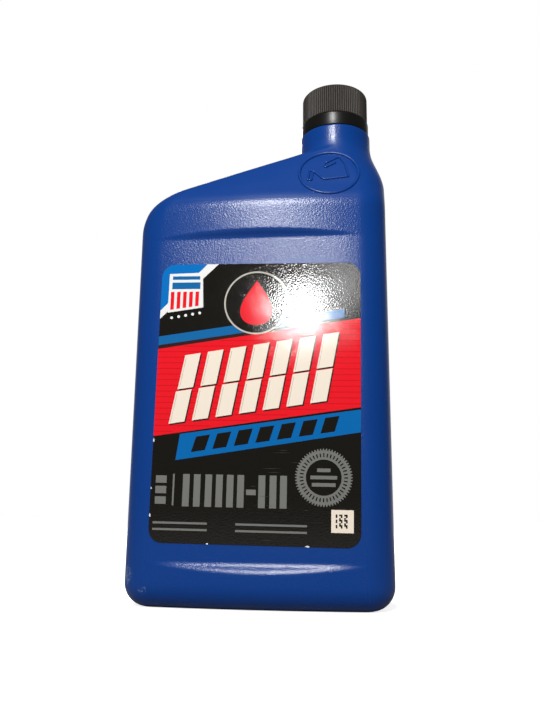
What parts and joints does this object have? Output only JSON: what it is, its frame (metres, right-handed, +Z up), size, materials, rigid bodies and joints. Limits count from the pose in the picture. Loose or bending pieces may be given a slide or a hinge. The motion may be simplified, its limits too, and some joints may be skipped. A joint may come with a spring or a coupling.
{
  "type": "motor oil bottle",
  "caption": "Flat upright bottle with a neck set to one side, ribbed screw cap that turns and lifts, tamper band and a flat front label.",
  "frame": {"origin": "middle of the flat base, on the surface that the bottle stands on", "axes": "+Z up, +X towards the side that the neck is on, the front label faces -Y"},
  "size_m": [0.1082, 0.058, 0.2288],
  "materials": {
    "bottle_plastic": "satin moulded blue polyethylene, grained on the front panel",
    "band_plastic": "smooth satin black",
    "cap_plastic": "ribbed satin black",
    "liner_foam": "white closed-cell foam",
    "label_film": "printed film with a satin lacquer"
  },
  "bodies": {
    "bottle": {"bottle": "bottle_plastic", "tamper_band": "band_plastic", "front_label": "label_film"},
    "liner": {"cap_liner": "liner_foam"},
    "cap": {"cap": "cap_plastic"}
  },
  "joints": [
    {"name": "cap_lift", "type": "slide", "parent": "bottle", "child": "liner", "axis": [0, 0, 1], "range_m": [0, 0.016]},
    {"name": "cap_turn", "type": "hinge", "parent": "liner", "child": "cap", "pos_m": [0.0321, 0, 0.22], "axis": [0, 0, 1], "range_deg": [0, 1800]}
  ],
  "couplings": [
    {"joint": "cap_lift", "follows": "cap_turn", "m_per_rad": 0.000509}
  ]
}
